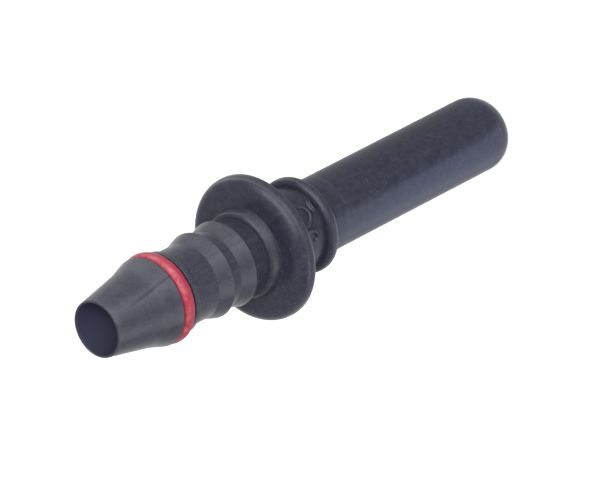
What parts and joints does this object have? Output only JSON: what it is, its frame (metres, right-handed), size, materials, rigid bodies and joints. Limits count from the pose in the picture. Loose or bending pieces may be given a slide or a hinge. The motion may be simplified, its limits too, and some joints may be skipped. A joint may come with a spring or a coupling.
{
  "type": "fuel hose connector",
  "caption": "Straight plastic fuel hose connector: barbed nose with a seal ring, stop flange, neck, retaining bead and long smooth spigot, bored through.",
  "frame": {"origin": "centre of the spigot's end face, at the foot of the standing connector", "axes": "+Z along the axis of the bore, from the spigot's end to the mouth of the barbed nose; the mould's parting plane is the XZ plane"},
  "size_m": [0.0154, 0.0154, 0.0588],
  "materials": {
    "body_plastic": "moulded polyamide, satin, near black with a blue-grey cast",
    "seal_rubber": "smooth red seal rubber"
  },
  "bodies": {
    "root": {"connector_body": "body_plastic", "seal_ring": "seal_rubber"}
  },
  "joints": []
}
